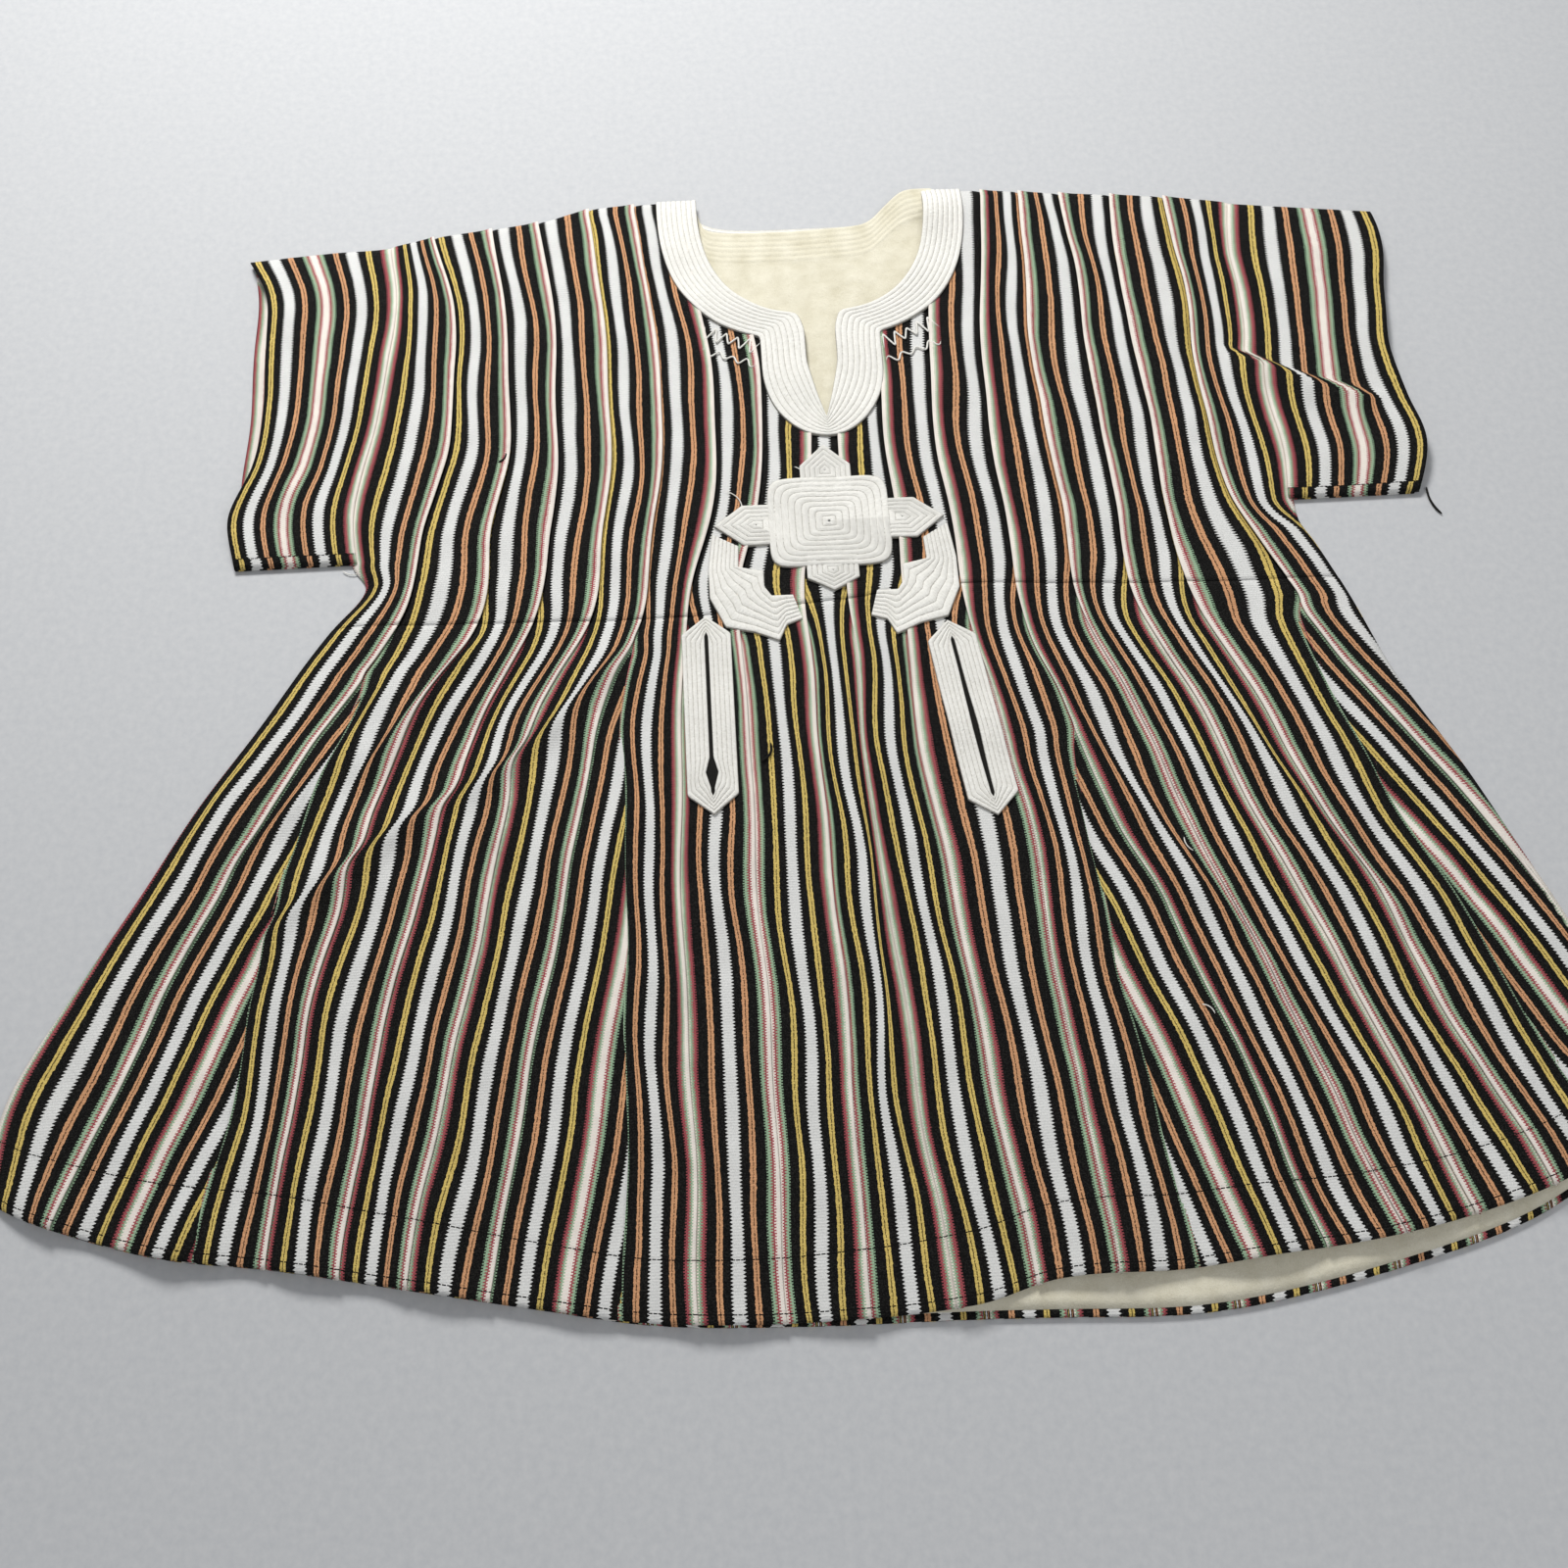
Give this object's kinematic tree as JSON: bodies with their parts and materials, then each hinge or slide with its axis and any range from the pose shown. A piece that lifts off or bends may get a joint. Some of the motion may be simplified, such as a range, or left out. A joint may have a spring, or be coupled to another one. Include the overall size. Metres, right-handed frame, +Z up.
{
  "type": "batakari smock",
  "caption": "Flared strip-woven smock laid flat on its back, with a tucked bodice, gored skirt, short wide sleeves, slit neck with an embroidered band, chest embroidery and slit pocket welts",
  "frame": {"origin": "on the floor below the middle of the smock's bounding box", "axes": "+X to the smock's right side as seen from above its front, +Y from the hem to the neck, +Z up from the floor"},
  "size_m": [1.121, 0.9206, 0.0164],
  "materials": {
    "striped_cloth": "matt strip-woven cotton in black, white, orange, yellow, red and pale green warp stripes",
    "lining_cloth": "matt cream plain-weave cotton",
    "embroidery_thread": "off-white machine embroidery with a soft sheen"
  },
  "bodies": {
    "root": {"back_bodice": "striped_cloth", "neck_band_back": "embroidery_thread", "back_skirt": "striped_cloth", "back_gore_outer_left": "striped_cloth", "back_gore_inner_left": "striped_cloth", "back_gore_inner_right": "striped_cloth", "back_gore_outer_right": "striped_cloth", "back_lining": "lining_cloth", "left_sleeve": "striped_cloth", "right_sleeve": "striped_cloth", "front_bodice": "striped_cloth", "front_skirt": "striped_cloth", "front_gore_outer_left": "striped_cloth", "front_gore_inner_left": "striped_cloth", "front_gore_inner_right": "striped_cloth", "front_gore_outer_right": "striped_cloth", "neck_band": "embroidery_thread", "chest_cross": "embroidery_thread", "chest_hook_left": "embroidery_thread", "chest_hook_right": "embroidery_thread", "pocket_welt_left": "embroidery_thread", "pocket_welt_right": "embroidery_thread"}
  },
  "joints": []
}
